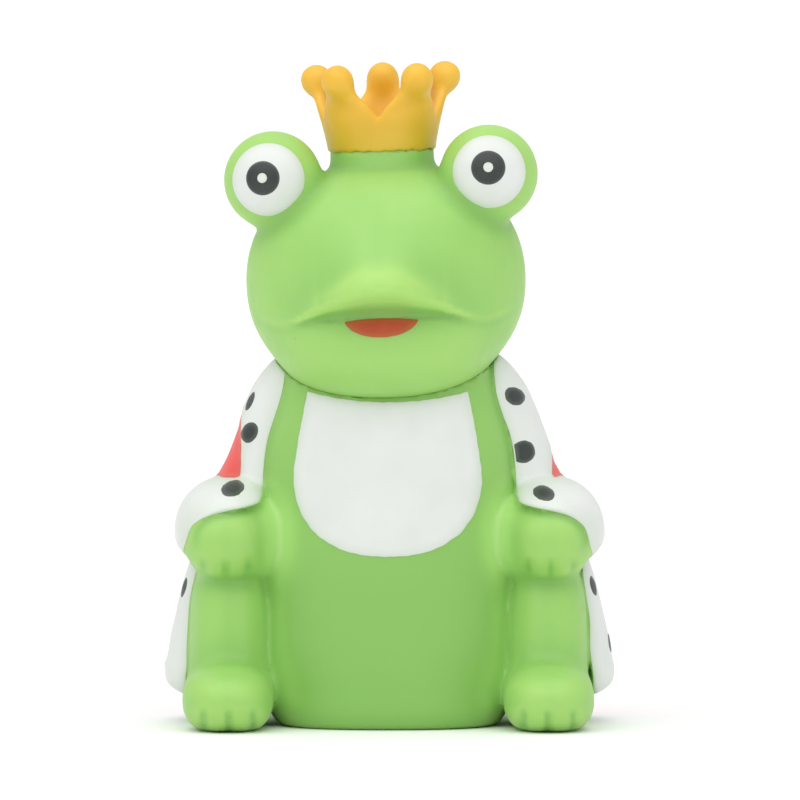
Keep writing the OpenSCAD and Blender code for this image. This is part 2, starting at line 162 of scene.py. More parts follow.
def ragged(p):
    """A small unevenness, as at the edge of sprayed paint, about -1 to 1."""
    x, y, z = p[..., 0], p[..., 1], p[..., 2]
    waves = [np.sin(a * x + b * y + c * z + shift) for a, b, c, shift in RAGGED_WAVES]
    return sum(waves) / len(waves)


# The head's place, with its tilt and turn in degrees

HEAD_BASE_Z = 54.2
HEAD_MIDDLE_Z = 74.0
HEAD_ROLL = 1.8
HEAD_TURN = 2.5


def head_axes():
    """The head's axes as a turn matrix."""
    roll = Matrix.Rotation(math.radians(-HEAD_ROLL), 3, "Y")
    turn = Matrix.Rotation(math.radians(-HEAD_TURN), 3, "Z")
    return np.array(turn @ roll)


HEAD_AXES = head_axes()
HEAD_MIDDLE = np.array((0.0, 0.0, HEAD_MIDDLE_Z))
HEAD_RISE = np.array((0.0, 0.0, HEAD_MIDDLE_Z - HEAD_BASE_Z))


def into_head(p):
    """Points in the head's own frame, with its origin under the chin."""
    return (p - HEAD_MIDDLE) @ HEAD_AXES + HEAD_RISE


def from_head(p):
    """Points of the head's own frame, in the shared frame."""
    return (np.asarray(p, float) - HEAD_RISE) @ HEAD_AXES.T + HEAD_MIDDLE


# Head

SKULL_AT = (0.0, 0.0, 19.6)
SKULL_HALF = (23.2, 21.0, 19.7)
SKULL_POWER = 2.15
JAW_AT = (0.0, -9.6, 8.6)
JAW_HALF = (16.2, 13.4, 8.6)
JAW_POWER = 2.2
JAW_BLEND = 5.0
EYE_R = 8.1
EYE_AT = (17.9, -7.0, 36.9)
EYE_BLEND = 2.4
STUB_R = 8.6
STUB_LOW = 30.0
STUB_TOP = 41.4
STUB_BLEND = 1.6

# The line of the lips: its height, how far it sags and then rises, and between which places across the face
LIP_Z = 13.9
LIP_SAG = 1.0
LIP_SAG_X = (8.0, 16.0)
LIP_RISE = 1.6
LIP_RISE_X = (17.0, 23.0)

# Beak: how far it stands out, the heights of its underside and crest over the lips, and its slope and plan
BEAK_OUT = 7.5
BEAK_RISE = 4.9
BEAK_CREST = 6.6
BEAK_FADE = 3.9
BEAK_SOFT = 2.0
BEAK_TAPER = 9.6
BEAK_TAPER_POWER = 2.6
BEAK_HALF_W = 10.4
BEAK_PLAN_POWER = 1.25
BEAK_END_SHARE = 1.65

# Cheeks: how far they stand out, and between which heights over the lips and places across they come and go
CHEEK_OUT = 0.2
CHEEK_LOW = (-1.0, 0.8)
CHEEK_HIGH = (2.0, 9.0)
CHEEK_INNER = (9.0, 14.0)
CHEEK_OUTER = (18.5, 22.5)

# How far forward the beak and the cheeks begin, and where they are full
FACE_FRONT = (2.0, 10.0)


def lip_line(x):
    """Height of the crease between the upper and the lower lip."""
    ax = np.abs(x)
    return LIP_Z - LIP_SAG * smooth_step(ax, *LIP_SAG_X) + LIP_RISE * smooth_step(ax, *LIP_RISE_X)


def face_relief(x, y, z):
    """How far the beak and the cheeks stand out of the face."""
    ax = np.abs(x)
    over_lip = z - lip_line(x)
    tall = 1.0 / (1.0 + (ax / BEAK_TAPER) ** BEAK_TAPER_POWER)
    beak = BEAK_OUT * hump(ax ** BEAK_PLAN_POWER, BEAK_HALF_W ** BEAK_PLAN_POWER)
    beak = beak * (1.0 - smooth_step(ax, BEAK_HALF_W, BEAK_END_SHARE * BEAK_HALF_W))
    beak = beak * smooth_step(over_lip, 0.0, BEAK_RISE * tall)
    over_crest = over_lip - BEAK_CREST * tall
    over_crest = (np.sqrt(over_crest ** 2 + BEAK_SOFT ** 2) + over_crest) / 2.0
    beak = beak / (1.0 + (over_crest / BEAK_FADE) ** 2)
    cheek = smooth_step(over_lip, *CHEEK_LOW) * (1.0 - smooth_step(over_lip, *CHEEK_HIGH))
    cheek = cheek * smooth_step(ax, *CHEEK_INNER) * (1.0 - smooth_step(ax, *CHEEK_OUTER))
    return (beak + CHEEK_OUT * cheek) * smooth_step(-y, *FACE_FRONT)


def head_form(q):
    """Distance to the head, in its own frame."""
    x, y, z = q[..., 0], q[..., 1], q[..., 2]
    skull = lump(q, SKULL_AT, SKULL_HALF, SKULL_POWER)
    jaw = lump(q, JAW_AT, JAW_HALF, JAW_POWER)
    d = smooth_min(skull, jaw, JAW_BLEND) - face_relief(x, y, z)
    eyes = lump(mirrored(q), EYE_AT, (EYE_R, EYE_R, EYE_R))
    d = smooth_min(d, eyes, EYE_BLEND)
    stub = np.maximum(np.hypot(x, y) - STUB_R, np.maximum(z - STUB_TOP, STUB_LOW - z))
    return smooth_min(d, stub, STUB_BLEND)


def head_field(p):
    """Distance to the head, in the shared frame."""
    return head_form(into_head(p))


# Crown

CROWN_BASE = 41.1
CROWN_LOW_R = 7.9
CROWN_HIGH_R = 11.1
CROWN_FLARE_POWER = 1.25
CROWN_H = 11.9
CROWN_OVER_SHARE = 1.2
CROWN_WALL = 1.7
CROWN_FOOT_SHARE = 0.25
CROWN_EDGE_SLOPE = 0.7
CROWN_EDGE_BLEND = 1.2
CROWN_FLOOR = 3.0
CROWN_FLOOR_BLEND = 0.9
CROWN_POINTS = 5
CROWN_NOTCH = 5.8
NOTCH_ROUND_SHARE = 0.02
NOTCH_SET_SHARE = 0.14
PETAL_GAIN_SHARE = 1.15
PETAL_OVER_SHARE = 1.3
PETAL_POWER = 0.7
BASE_WAVE = 0.28
BASE_WAVE_RATE = 1.4
BASE_BLEND = 0.5
BALL_R = 2.55
BALL_RING_R = 11.2
BALL_BLEND = 2.2


def crown_form(q):
    """Distance to the crown, in the head's frame."""
    x, y = q[..., 0], q[..., 1]
    z = q[..., 2] - CROWN_BASE
    across = np.hypot(x, y)
    part = 2.0 * math.pi / CROWN_POINTS
    turn = np.arctan2(x, -y)
    from_notch = np.abs((turn + part / 2.0) % part - part / 2.0) / (part / 2.0)
    up = np.clip(z / CROWN_H, 0.0, CROWN_OVER_SHARE)
    radius = CROWN_LOW_R + (CROWN_HIGH_R - CROWN_LOW_R) * up ** CROWN_FLARE_POWER
    wall = np.abs(across - radius) - CROWN_WALL / 2.0 * (1.0 + CROWN_FOOT_SHARE * (1.0 - up))
    rise = (np.sqrt(from_notch ** 2 + NOTCH_ROUND_SHARE) - NOTCH_SET_SHARE) * PETAL_GAIN_SHARE
    petal = np.clip(rise, 0.0, PETAL_OVER_SHARE) ** PETAL_POWER
    edge = CROWN_NOTCH + (CROWN_H - CROWN_NOTCH) * petal
    d = smooth_max(wall, (z - edge) * CROWN_EDGE_SLOPE, CROWN_EDGE_BLEND)
    floor = np.maximum(across - radius, z - CROWN_FLOOR)
    d = smooth_min(d, floor, CROWN_FLOOR_BLEND)
    d = smooth_max(d, -z - BASE_WAVE * ragged(BASE_WAVE_RATE * q), BASE_BLEND)
    point_turn = (np.round((turn - part / 2.0) / part) + 0.5) * part
    ball_x = BALL_RING_R * np.sin(point_turn)
    ball_y = -BALL_RING_R * np.cos(point_turn)
    ball = np.stack((x - ball_x, y - ball_y, z - CROWN_H), -1)
    balls = np.sqrt((ball ** 2).sum(-1)) - BALL_R
    return smooth_min(d, balls, BALL_BLEND)


def crown_field(p):
    """Distance to the crown, in the shared frame."""
    return crown_form(into_head(p))


# Torso and limbs

TORSO_Z = (0.0, 2.5, 7.0, 21.0, 36.0, 43.0, 49.0, 55.0, 61.0)
TORSO_HALF_W = (18.4, 19.9, 20.6, 20.9, 21.7, 21.7, 20.5, 18.6, 16.6)
TORSO_HALF_D = (17.6, 19.0, 19.6, 19.8, 19.0, 18.2, 17.4, 16.1, 14.6)
TORSO_POWER = 2.45
TORSO_TOP = 67.0
TORSO_TOP_BLEND = 3.0
LIMB_SHIFT = 0.4
LIMB_BLEND = 1.5
LEG_AT = (26.3, -4.4, 14.4)
LEG_HALF = (6.6, 11.0, 14.8)
LEG_POWER = 2.5
FOOT_AT = (26.5, -15.2, 5.0)
FOOT_HALF = (7.5, 12.2, 5.9)
FOOT_POWER = 2.4
FOOT_BLEND = 3.2
PAW_AT = (26.8, -11.2, 31.2)
PAW_HALF = (6.6, 8.8, 6.4)
PAW_POWER = 2.3
PAW_BLEND = 2.0
ARM_AT = (25.0, -7.4, 31.6)
ARM_HALF = (8.2, 8.6, 6.9)
ARM_POWER = 2.5
HIP_AT = (26.4, 1.0, 10.0)
HIP_HALF = (6.7, 11.0, 9.0)
HIP_POWER = 2.6
HIP_BLEND = 1.5

# Grooves between toes and fingers: places across, depth, heights where they fade, and where they start
GROOVE_W = 0.8
GROOVE_FADE = 4.0
TOE_GAPS = (-4.2, -0.3, 3.8)
TOE_DEPTH = 0.36
TOE_Z = (2.6, 5.0)
TOE_FRONT = 19.5
FINGER_GAPS = (-3.7, 0.0, 3.7)
FINGER_DEPTH = 0.3
FINGER_Z = (26.6, 29.4)
FINGER_FRONT = 13.0


def grooves(m, centre_x, gaps, low_high, front):
    """Soft upright grooves between toes or fingers."""
    x, y, z = m[..., 0], m[..., 1], m[..., 2]
    low, high = low_high
    total = sum(hump(x - centre_x - gap, GROOVE_W) for gap in gaps)
    return total * smooth_step(-z, -high, -low) * smooth_step(-y, front, front + GROOVE_FADE)


def flesh_forms(p):
    """Distances to the torso and to the limbs."""
    z = p[..., 2]
    m = mirrored(p - np.array((LIMB_SHIFT, 0.0, 0.0)))
    wide = curve(z, TORSO_Z, TORSO_HALF_W)
    deep = curve(z, TORSO_Z, TORSO_HALF_D)
    torso = smooth_max(column(m, wide, deep, deep, 0.0, TORSO_POWER), z - TORSO_TOP, TORSO_TOP_BLEND)
    leg = lump(m, LEG_AT, LEG_HALF, LEG_POWER)
    foot = lump(m, FOOT_AT, FOOT_HALF, FOOT_POWER)
    foot = foot + TOE_DEPTH * grooves(m, FOOT_AT[0], TOE_GAPS, TOE_Z, TOE_FRONT)
    paw = lump(m, PAW_AT, PAW_HALF, PAW_POWER)
    paw = paw + FINGER_DEPTH * grooves(m, PAW_AT[0], FINGER_GAPS, FINGER_Z, FINGER_FRONT)
    arm = lump(m, ARM_AT, ARM_HALF, ARM_POWER)
    hip = lump(m, HIP_AT, HIP_HALF, HIP_POWER)
    limbs = smooth_min(smooth_min(leg, foot, FOOT_BLEND), smooth_min(paw, arm, PAW_BLEND), PAW_BLEND)
    return torso, smooth_min(limbs, hip, HIP_BLEND)


def flesh_field(p):
    """Distance to the green forms of the body."""
    torso, limbs = flesh_forms(p)
    return smooth_min(torso, limbs, LIMB_BLEND)


# Cape: the half width, front and back of its rings at each height

CAPE_Z = (4.3, 6.5, 8.5, 11.5, 14.5, 18.0, 21.5, 24.5, 27.0, 31.0,
          35.0, 38.0, 41.0, 44.0, 47.0, 50.0, 53.0, 56.5, 59.5, 61.5)
CAPE_HALF_W = (34.0, 36.3, 36.8, 36.3, 35.8, 35.0, 34.2, 33.4, 32.6, 31.8,
               31.0, 30.0, 28.6, 27.0, 25.8, 24.7, 23.5, 21.8, 19.5, 17.5)
CAPE_TIERS_Z = (4.3, 7.8, 11.7, 19.5, 26.7, 37.2, 41.6, 46.6, 53.8, 58.2, 61.5)
CAPE_FRONT = (12.0, 13.6, 14.6, 15.4, 15.6, 15.6, 15.0, 14.7, 14.3, 13.1, 11.2)
CAPE_BACK = (22.6, 24.9, 25.9, 25.4, 24.6, 23.6, 22.9, 22.1, 20.4, 18.3, 16.0)
CAPE_AXIS_Y = 3.0
CAPE_SHIFT = 0.6
CAPE_POWER = 2.4
CAPE_TOP = 62.0
CAPE_TOP_BLEND = 2.0
CAPE_HEM = 4.4
CAPE_HEM_BLEND = 2.6
CLOTH_BLEND = 0.8
FOLD_COUNT = 9
FOLD_DEPTH = 0.45
FOLD_Y = (4.0, 14.0)
FOLD_Z = (14.0, 46.0)
SLEEVE_AT = (26.4, -5.6, 32.2)
SLEEVE_HALF = (8.6, 14.0, 8.7)
SLEEVE_LOW = 5.4
SLEEVE_POWER = 2.1
SLEEVE_BLEND = 1.2
WRIST_AT = (26.7, 30.6)
WRIST_HALF = (6.5, 6.0)
WRIST_FROM = -4.0
WRIST_BLEND = 0.9

# Trim: the inner edge of its band at each height, seen from the front
TRIM_Z = (4.0, 8.0, 12.0, 18.0, 22.0, 26.0, 29.0, 32.0, 34.0, 35.4,
          36.4, 37.2, 38.2, 40.0, 43.0, 46.3, 48.8, 51.4, 55.0, 58.2)
TRIM_X = (33.7, 33.6, 33.1, 32.9, 32.3, 31.8, 32.2, 32.4, 31.4, 29.0,
          25.4, 22.0, 21.0, 20.8, 20.6, 20.2, 19.6, 18.6, 17.5, 17.1)
TRIM_BLEND = 0.9
TRIM_RELIEF = 0.55
TRIM_RAMP = 0.45
TRIM_BACK_Y = 0.5
TRIM_BACK_RATE = 2.0
LEAN_STEP = 0.3

# The white parts of the cape: chest bands, cuffs, collar and hem
BAND_OUTER_LEFT = 24.7
BAND_OUTER_RIGHT = 27.0
CUFF_TOP = 41.3
COLLAR_LOW = 56.6
HEM_TOP = 12.4
FRONT_TIERS_Z = (4.0, 26.0, 34.0, 41.0, 50.0)
FRONT_TIERS_Y = (3.0, 2.5, 1.0, 1.5, 4.0)
ZONE_BLEND = 0.8
ZONE_WAVE = 0.08


def trim_edge(z):
    """The inner edge of the fur trim at each height, as a distance from the middle."""
    return curve(z, TRIM_Z, TRIM_X)


def white_zone(p):
    """Above zero where the cape is fur trim, below zero where it is red."""
    x = p[..., 0] - CAPE_SHIFT
    y, z = p[..., 1], p[..., 2]
    outer = np.where(x < 0.0, BAND_OUTER_LEFT, BAND_OUTER_RIGHT)
    band = smooth_max(outer - np.abs(x), CUFF_TOP - z, ZONE_BLEND)
    front = np.minimum(band, curve(z, FRONT_TIERS_Z, FRONT_TIERS_Y) - y)
    collar = z - COLLAR_LOW
    hem = HEM_TOP - z
    return smooth_max(smooth_max(front, collar, ZONE_BLEND), hem, ZONE_BLEND) + ZONE_WAVE * ragged(p)


def trim_cut(s):
    """Above zero in front of the belly and the limbs, where the cape is open."""
    z = s[..., 2]
    lean = (trim_edge(z + LEAN_STEP) - trim_edge(z - LEAN_STEP)) / (2.0 * LEAN_STEP)
    behind = TRIM_BACK_RATE * np.maximum(s[..., 1] - TRIM_BACK_Y, 0.0)
    cut = trim_edge(z) - np.abs(s[..., 0]) - behind
    return cut / np.sqrt(1.0 + lean * lean)


def wrist_cut(s):
    """Below zero in the mouth of a sleeve."""
    across = (np.abs(s[..., 0]) - WRIST_AT[0]) / WRIST_HALF[0]
    ring = np.hypot(across, (s[..., 2] - WRIST_AT[1]) / WRIST_HALF[1])
    return np.maximum((ring - 1.0) * WRIST_HALF[1], s[..., 1] - WRIST_FROM)


def cloth_field(p):
    """Distance to the cape with its sleeves and raised trim."""
    s = p.copy()
    s[..., 0] -= CAPE_SHIFT
    y, z = s[..., 1], s[..., 2]
    wide = curve(z, CAPE_Z, CAPE_HALF_W)
    front = curve(z, CAPE_TIERS_Z, CAPE_FRONT)
    back = curve(z, CAPE_TIERS_Z, CAPE_BACK)
    d = column(s, wide, front, back, CAPE_AXIS_Y, CAPE_POWER)
    turn = np.arctan2(s[..., 0], y - CAPE_AXIS_Y)
    folds = np.cos(FOLD_COUNT * turn) * smooth_step(y, *FOLD_Y) * (1.0 - smooth_step(z, *FOLD_Z))
    d = d - FOLD_DEPTH * folds
    sleeve = lump(mirrored(s), SLEEVE_AT, SLEEVE_HALF, SLEEVE_POWER, half_low=SLEEVE_LOW)
    sleeve = smooth_max(sleeve, -wrist_cut(s), WRIST_BLEND)
    d = smooth_min(d, sleeve, SLEEVE_BLEND)
    d = d - TRIM_RELIEF * smooth_step(white_zone(p), -TRIM_RAMP, TRIM_RAMP)
    d = smooth_max(d, trim_cut(s), TRIM_BLEND)
    d = smooth_max(d, CAPE_HEM - z, CAPE_HEM_BLEND)
    return smooth_max(d, z - CAPE_TOP, CAPE_TOP_BLEND)


# The pocket for the squeaker, tall enough to clear it when the body is squeezed

SOCKET_GAP = 0.15
SOCKET_OVER = 0.5
squeaker_low, squeaker_high = (np.array(corner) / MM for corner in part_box("squeaker_housing"))
SOCKET_AT = (squeaker_low + squeaker_high) / 2.0
SOCKET_R = (squeaker_high[0] - squeaker_low[0]) / 2.0 + SOCKET_GAP
SOCKET_TOP = squeaker_high[2] / SQUEEZE_KEEP + SOCKET_OVER


def socket_field(p):
    """Distance to the pocket in the floor that holds the squeaker."""
    across = np.hypot(p[..., 0] - SOCKET_AT[0], p[..., 1] - SOCKET_AT[1])
    return np.maximum(across - SOCKET_R, p[..., 2] - SOCKET_TOP)


# How far the body reaches into the head at the weld, and the rounding of its underside
WELD_LAP = 0.2
GROUND_BLEND = 0.9


def body_field(p):
    """Distance to the whole body casting."""
    d = smooth_min(flesh_field(p), cloth_field(p), CLOTH_BLEND)
    d = smooth_max(d, -p[..., 2], GROUND_BLEND)
    d = np.maximum(d, -WELD_LAP - head_field(p))
    return np.maximum(d, -socket_field(p))


# Meshing


def slopes(field, p):
    """The field's gradient at each point."""
    g = np.empty_like(p)
    for axis in range(3):
        step = np.zeros(3)
        step[axis] = SLOPE_STEP
        g[:, axis] = (field(p + step) - field(p - step)) / (2.0 * SLOPE_STEP)
    return g


def normals(field, p):
    """The outward direction of the field's surface at each point."""
    g = slopes(field, p)
    return g / (np.linalg.norm(g, axis=1, keepdims=True) + TINY)


def settle(field, p, reach, rounds):
    """Points moved onto the field's zero, by no more than reach at each round."""
    for _ in range(rounds):
        g = slopes(field, p)
        move = -field(p)[:, None] * g / ((g * g).sum(1, keepdims=True) + TINY)
        length = np.linalg.norm(move, axis=1, keepdims=True)
        p = p + move * np.minimum(1.0, reach / (length + TINY))
    return p


def bending(field, p):
    """How the surface bends at each point: above zero on ridges, below zero in creases."""
    # The six neighbours, less six times the point itself
    total = -6.0 * field(p)
    for axis in range(3):
        step = np.zeros(3)
        step[axis] = BEND_STEP
        total = total + field(p + step) + field(p - step)
    return total / (BEND_STEP * BEND_STEP)


def crossings(value, cells):
    """The mean place, in grid steps, where the surface crosses the edges of each cell."""
    total = np.zeros((len(cells), 3))
    hits = np.zeros(len(cells))
    for axis in range(3):
        for a, b in ((0, 0), (0, 1), (1, 0), (1, 1)):
            start = cells.copy()
            start[:, (axis + 1) % 3] += a
            start[:, (axis + 2) % 3] += b
            end = start.copy()
            end[:, axis] += 1
            v0 = value[tuple(start.T)]
            v1 = value[tuple(end.T)]
            cross = (v0 < 0.0) != (v1 < 0.0)
            point = start.astype(float)
            point[:, axis] += np.clip(v0 / (v0 - v1 + (v0 == v1)), 0.0, 1.0)
            total[cross] += point[cross]
            hits[cross] += 1.0
    return total / hits[:, None]


def cell_quads(inside, index):
    """A quad of cells around each grid edge that the surface crosses, facing outwards."""
    quads = []
    for axis in range(3):
        u, w = (axis + 1) % 3, (axis + 2) % 3
        starts = [slice(None)] * 3
        ends = [slice(None)] * 3
        starts[axis] = slice(0, -1)
        ends[axis] = slice(1, None)
        low_in = inside[tuple(starts)]
        at = np.argwhere(low_in != inside[tuple(ends)])
        at = at[(at[:, u] > 0) & (at[:, w] > 0)]
        at = at[(at[:, u] < index.shape[u]) & (at[:, w] < index.shape[w])]
        corners = []
        for a, b in ((0, 0), (1, 0), (1, 1), (0, 1)):
            cell = at.copy()
            cell[:, u] -= a
            cell[:, w] -= b
            corners.append(index[tuple(cell.T)])
        quad = np.stack(corners, 1)
        flip = ~low_in[tuple(at.T)]
        quad[flip] = quad[flip][:, ::-1]
        quads.append(quad)
    return np.concatenate(quads)


def net(field, low, high, step):
    """Points and quads of a mesh on the field's zero, from a grid of that step."""
    axes = [np.arange(a, b + step, step) for a, b in zip(low, high)]
    value = field(np.stack(np.meshgrid(*axes, indexing="ij"), -1))
    inside = value < 0.0
    count = np.zeros([n - 1 for n in value.shape], int)
    for i in (0, 1):
        for j in (0, 1):
            for k in (0, 1):
                count += inside[i:i - 1 or None, j:j - 1 or None, k:k - 1 or None]
    # Cells with some of their 8 corners inside and some outside
    mixed = (count > 0) & (count < 8)
    cells = np.argwhere(mixed)
    index = np.full(mixed.shape, -1)
    index[mixed] = np.arange(len(cells))
    points = np.asarray(low, float) + step * crossings(value, cells)
    return settle(field, points, step / 2.0, NET_ROUNDS), cell_quads(inside, index)


def compact(points, faces):
    """The points that the faces use, and the faces in their new numbers."""
    used, renamed = np.unique(faces, return_inverse=True)
    return points[used], renamed.reshape(faces.shape)


def largest(points, quads):
    """The biggest joined group of quads, without loose specks."""
    group = np.arange(len(points))
    before = None
    while before is None or (group != before).any():
        before = group.copy()
        low = group[quads].min(1)
        for corner in range(4):
            np.minimum.at(group, quads[:, corner], low)
        group = group[group]
    names, counts = np.unique(group[quads[:, 0]], return_counts=True)
    return compact(points, quads[group[quads[:, 0]] == names[counts.argmax()]])


def mesh_object(name, points, faces, sharp=None):
    """An object from points in millimetres."""
    mesh = bpy.data.meshes.new(name)
    mesh.from_pydata((points * MM).tolist(), [], [list(map(int, face)) for face in faces])
    mesh.validate()
    mesh.shade_smooth()
    if sharp:
        mesh.set_sharp_from_angle(angle=math.radians(sharp))
    obj = bpy.data.objects.new(name, mesh)
    bpy.context.scene.collection.objects.link(obj)
    return obj


def note(obj, name, values):
    """Keeps one number per point for the materials to read."""
    attribute = obj.data.attributes.new(name, "FLOAT", "POINT")
    attribute.data.foreach_set("value", np.asarray(values, np.float32))


def note_bending(obj, field, points):
    """Keeps where a surface is ridged and where it is creased."""
    bend = bending(field, points)
    note(obj, "ridge", np.clip(bend / RIDGE_FULL, 0.0, 1.0))
    note(obj, "crease", np.clip(-bend / CREASE_FULL, 0.0, 1.0))


# Coats: their thickness over and under the surface, and the finer mesh and thinner paint at their rims

COAT_LIFT = 0.13
COAT_SINK = 0.15
SPOT_LIFT = 0.24
RIM_REACHES = (0.8, 0.4)
RIM_NEAR = 0.01
RIM_W = 0.4
RIM_LIFT_SHARE = 0.5
INWARD_W = 1.6
CAP_RINGS = 14
CAP_AROUND = 56
CAP_RIM_SHARE = 0.12
CAP_LIFT_SHARE = 0.25


def finer(field, points, triangles, mask, reach):
    """Halves the edges near the mask's zero, and splits each triangle to match."""
    close = np.abs(mask) < reach
    split = close[triangles].any(1)
    faces = triangles[~split].tolist()
    middles = {}

    def middle(i, j):
        return middles.setdefault((min(i, j), max(i, j)), len(points) + len(middles))

    for a, b, c in triangles[split].tolist():
        while not close[a]:
            a, b, c = b, c, a
        ab = middle(a, b)
        ca = middle(c, a)
        faces.append((a, ab, ca))
        if close[b] or close[c]:
            bc = middle(b, c)
            faces.extend(((ab, b, bc), (ca, bc, c), (ab, bc, ca)))
        else:
            faces.extend(((ab, b, c), (ab, c, ca)))
    ends = np.array(list(middles), int).reshape(-1, 2)
    extra = settle(field, points[ends].mean(1), SETTLE_REACH, SETTLE_ROUNDS)
    return np.concatenate((points, extra)), np.array(faces)


def clip(points, triangles, mask):
    """The triangles where the mask is above zero, cut along its zero, and each point's mask."""
    mask = np.where(np.abs(mask) < RIM_NEAR, -RIM_NEAR, mask)
    inside = (mask > 0.0)[triangles]
    count = inside.sum(1)
    faces = [tuple(t) for t in triangles[count == 3]]
    extra = []
    made = {}

    def cut(i, j):
        key = (min(i, j), max(i, j))
        if key not in made:
            a, b = key
            t = mask[a] / (mask[a] - mask[b])
            made[key] = len(points) + len(extra)
            extra.append(points[a] + (points[b] - points[a]) * t)
        return made[key]

    for tri in triangles[(count > 0) & (count < 3)]:
        ring = []
        for i, j in zip(tri, np.roll(tri, -1)):
            if mask[i] > 0.0:
                ring.append(i)
            if (mask[i] > 0.0) != (mask[j] > 0.0):
                ring.append(cut(i, j))
        for n in range(1, len(ring) - 1):
            faces.append((ring[0], ring[n], ring[n + 1]))
    every = np.concatenate((points, np.array(extra))) if extra else points
    depth = np.concatenate((mask, np.zeros(len(extra))))
    used, faces = np.unique(np.array(faces), return_inverse=True)
    return every[used], faces.reshape(-1, 3), depth[used]


def rim_edges(faces):
    """The directed edges that only one face has."""
    edges = np.concatenate((faces[:, (0, 1)], faces[:, (1, 2)], faces[:, (2, 0)]))
    known = set(map(tuple, edges.tolist()))
    return [(a, b) for a, b in known if (b, a) not in known]


def coat(name, field, points, quads, mask_at, lift):
    """A thin closed coat on a surface, where the mask is above zero, thinning to its rim."""
    triangles = np.concatenate((quads[:, (0, 1, 2)], quads[:, (0, 2, 3)]))
    wanted = (mask_at(points) > -2.0 * RIM_REACHES[0])[triangles].any(1)
    points, triangles = compact(points, triangles[wanted])
    for reach in RIM_REACHES:
        points, triangles = finer(field, points, triangles, mask_at(points), reach)
    points, faces, depth = clip(points, triangles, mask_at(points))
    points = settle(field, points, SETTLE_REACH, SETTLE_ROUNDS)
    out = normals(field, points)
    rise = lift * (RIM_LIFT_SHARE + (1.0 - RIM_LIFT_SHARE) * smooth_step(depth, 0.0, RIM_W))
    top = points + out * rise[:, None]
    under = points - out * COAT_SINK
    n = len(points)
    walls = [(b, a, a + n, b + n) for a, b in rim_edges(faces)]
    rings = faces.tolist() + (faces[:, ::-1] + n).tolist() + walls
    obj = mesh_object(name, np.concatenate((top, under)), rings, sharp=COAT_SHARP)
    inward = smooth_step(depth, 0.0, INWARD_W)
    note(obj, "inward", np.concatenate((inward, inward)))
    return obj


def cap(name, centre, radius, aim, half_w, lift):
    """A round printed cap on a ball, domed and thinning to its rim."""
    aim = Vector(aim).normalized()
    side = Vector((0.0, 0.0, 1.0)).cross(aim).normalized()
    up = aim.cross(side)
    half_angle = math.asin(half_w / radius)
    top = []
    under = []
    inward = []
    for ring in range(CAP_RINGS + 1):
        share = ring / CAP_RINGS
        angle = half_angle * share
        full = float(smooth_step(np.array(1.0 - share), 0.0, CAP_RIM_SHARE))
        rise = lift * (CAP_LIFT_SHARE + (1.0 - CAP_LIFT_SHARE) * full)
        for n in range(CAP_AROUND if ring else 1):
            turn = 2.0 * math.pi * n / CAP_AROUND
            out = aim * math.cos(angle) + (side * math.cos(turn) + up * math.sin(turn)) * math.sin(angle)
            top.append(Vector(centre) + out * (radius + rise))
            under.append(Vector(centre) + out * (radius - COAT_SINK))
            inward.append(min(1.0, (1.0 - share) * half_w / INWARD_W))

    def at(ring, n):
        return 0 if ring == 0 else 1 + (ring - 1) * CAP_AROUND + n % CAP_AROUND

    faces = [(0, at(1, n), at(1, n + 1)) for n in range(CAP_AROUND)]
    for ring in range(1, CAP_RINGS):
        for n in range(CAP_AROUND):
            faces.append((at(ring, n), at(ring + 1, n), at(ring + 1, n + 1), at(ring, n + 1)))
    count = len(top)
    closed = faces + [tuple(i + count for i in reversed(face)) for face in faces]
    for n in range(CAP_AROUND):
        a, b = at(CAP_RINGS, n), at(CAP_RINGS, n + 1)
        closed.append((b, a, a + count, b + count))
    obj = mesh_object(name, np.array([tuple(v) for v in top + under]), closed, sharp=COAT_SHARP)
    note(obj, "inward", inward + inward)
    return obj


# Materials


def paint(red, green, blue):
    """A screen colour, from 0 to 255 on the sRGB curve, as a shader takes it."""
    linear = []
    for value in (red, green, blue):
        v = value / 255.0
        linear.append(v / 12.92 if v <= 0.04045 else ((v + 0.055) / 1.055) ** 2.4)
    return (*linear, 1.0)


# The two shades that each colour wanders between, and what it turns to in places
GREEN_SHADES = (paint(146, 199, 101), paint(154, 205, 109))
# Painted highlight: the lighter green that ridges and protruding edges take on
GREEN_RIDGE_HIGHLIGHT = paint(182, 220, 116)
# Painted shade: the darker green in creases
GREEN_CREASE_SHADE = paint(112, 164, 68)
# Painted shade: darker green low on the belly and away from the limbs
GREEN_BELLY_SHADE = paint(132, 185, 90)
# Painted light: lighter green in the nooks between limbs, where shade falls
GREEN_NOOK_LIGHT = paint(186, 232, 138)
GREEN_SPECK = paint(120, 150, 80)
WHITE_SHADES = (paint(222, 227, 221), paint(229, 233, 228))
WHITE_RIM = paint(190, 212, 180)
RED_SHADES = (paint(231, 82, 76), paint(235, 88, 82))
RED_RIM = paint(180, 110, 80)
LIP_SHADES = (paint(178, 60, 18), paint(190, 70, 24))
LIP_RIM = paint(168, 116, 56)
BLACK_SHADES = (paint(40, 47, 44), paint(50, 57, 54))
BLACK_RIM = paint(96, 108, 98)
YELLOW_SHADES = (paint(228, 178, 48), paint(235, 186, 58))
YELLOW_LOW = paint(206, 182, 52)
# Painted shade: deeper yellow in the crown's creases
YELLOW_CREASE_SHADE = paint(214, 150, 32)
PLASTIC_SHADES = (paint(232, 232, 226), paint(222, 223, 217))
FILM_SHADES = (paint(214, 224, 228), paint(200, 214, 220))
STUDIO_SHADES = (paint(250, 250, 250), paint(247, 248, 248))

